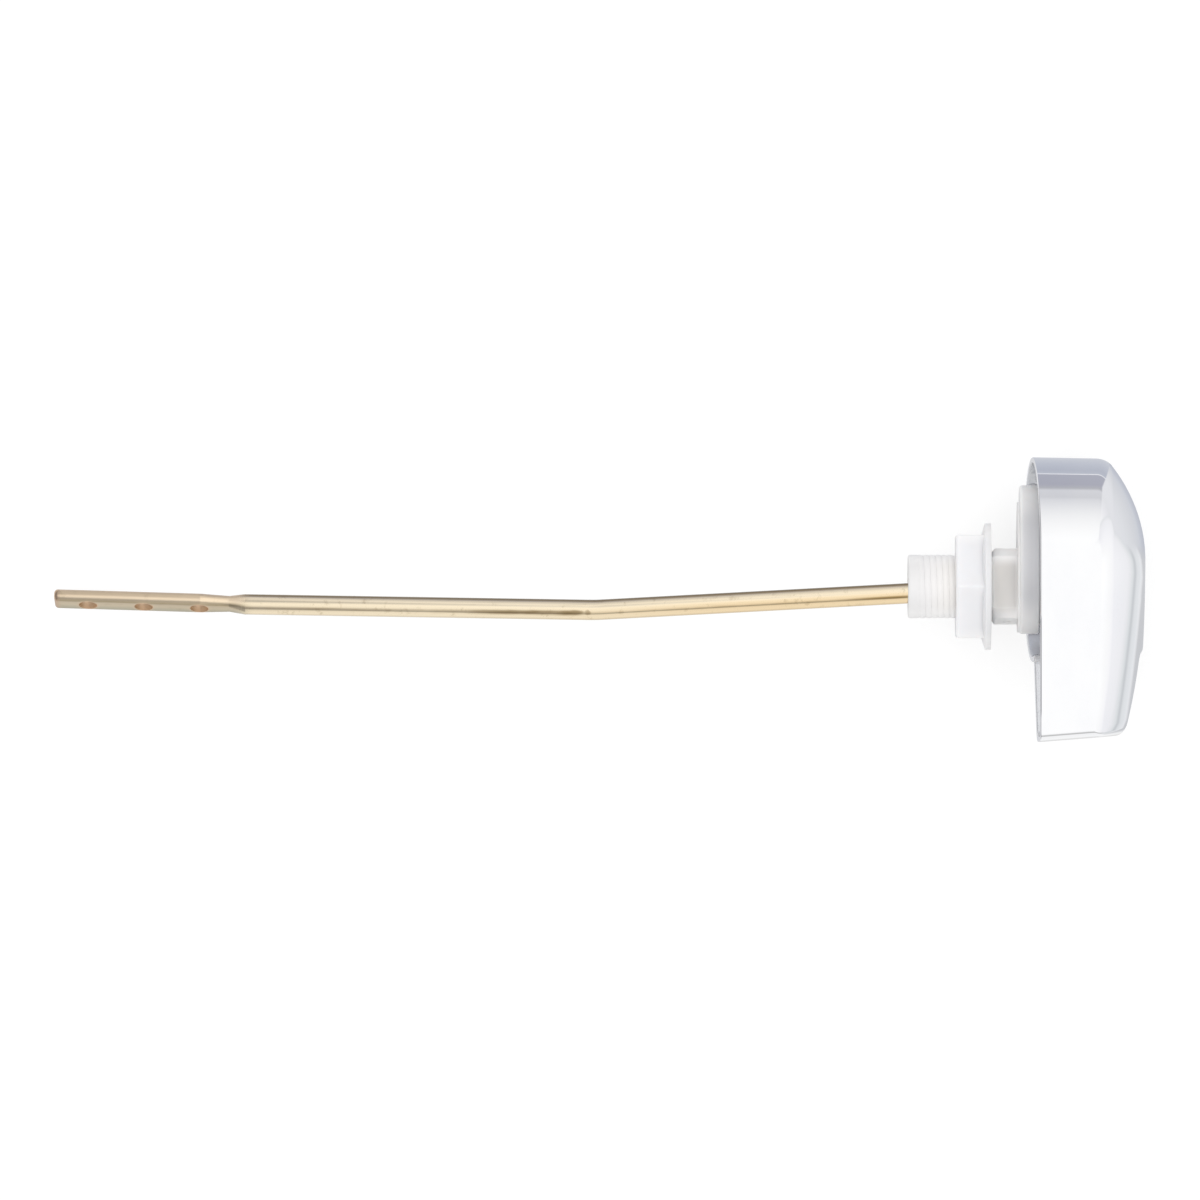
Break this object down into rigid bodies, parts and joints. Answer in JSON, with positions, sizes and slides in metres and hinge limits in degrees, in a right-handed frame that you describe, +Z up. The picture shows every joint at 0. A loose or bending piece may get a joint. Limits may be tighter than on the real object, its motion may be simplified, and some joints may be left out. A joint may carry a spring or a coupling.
{
  "type": "cistern lever",
  "caption": "Cistern lever: a turning beaked handle on a square-shanked threaded spud with lock nut rocks a bent brass rod whose pressed end has chain holes.",
  "frame": {"origin": "on the spud's axis, in the face that seats on the cistern wall", "axes": "+X out of the cistern through the handle, +Y away from the handle's beak, +Z up"},
  "size_m": [0.2676, 0.0697, 0.0501],
  "materials": {
    "chrome": "polished plating",
    "white_plastic": "moulded, slightly translucent",
    "brass": "drawn, with lengthwise marks",
    "steel": "bright"
  },
  "bodies": {
    "fixed": {"spud": "white_plastic", "fulcrum_pin": "steel", "pivot_screw": "steel", "pivot_washer": "steel"},
    "handle": {"handle_shell": "chrome", "handle_carrier": "white_plastic"},
    "rod": {"lift_rod": "brass"},
    "nut": {"lock_nut": "white_plastic"}
  },
  "joints": [
    {"name": "handle_turn", "type": "hinge", "parent": "fixed", "child": "handle", "pos_m": [0, 0.0066, 0], "axis": [1, 0, 0], "range_deg": [0, 22]},
    {"name": "rod_rock", "type": "hinge", "parent": "fixed", "child": "rod", "pos_m": [-0.0025, -0.00037, 0], "axis": [0, 1, 0], "range_deg": [0, 8.5]},
    {"name": "nut_run", "type": "slide", "parent": "fixed", "child": "nut", "axis": [-1, 0, 0], "range_m": [0, 0.0115]}
  ],
  "couplings": [
    {"joint": "rod_rock", "follows": "handle_turn", "ratio": 0.383}
  ]
}
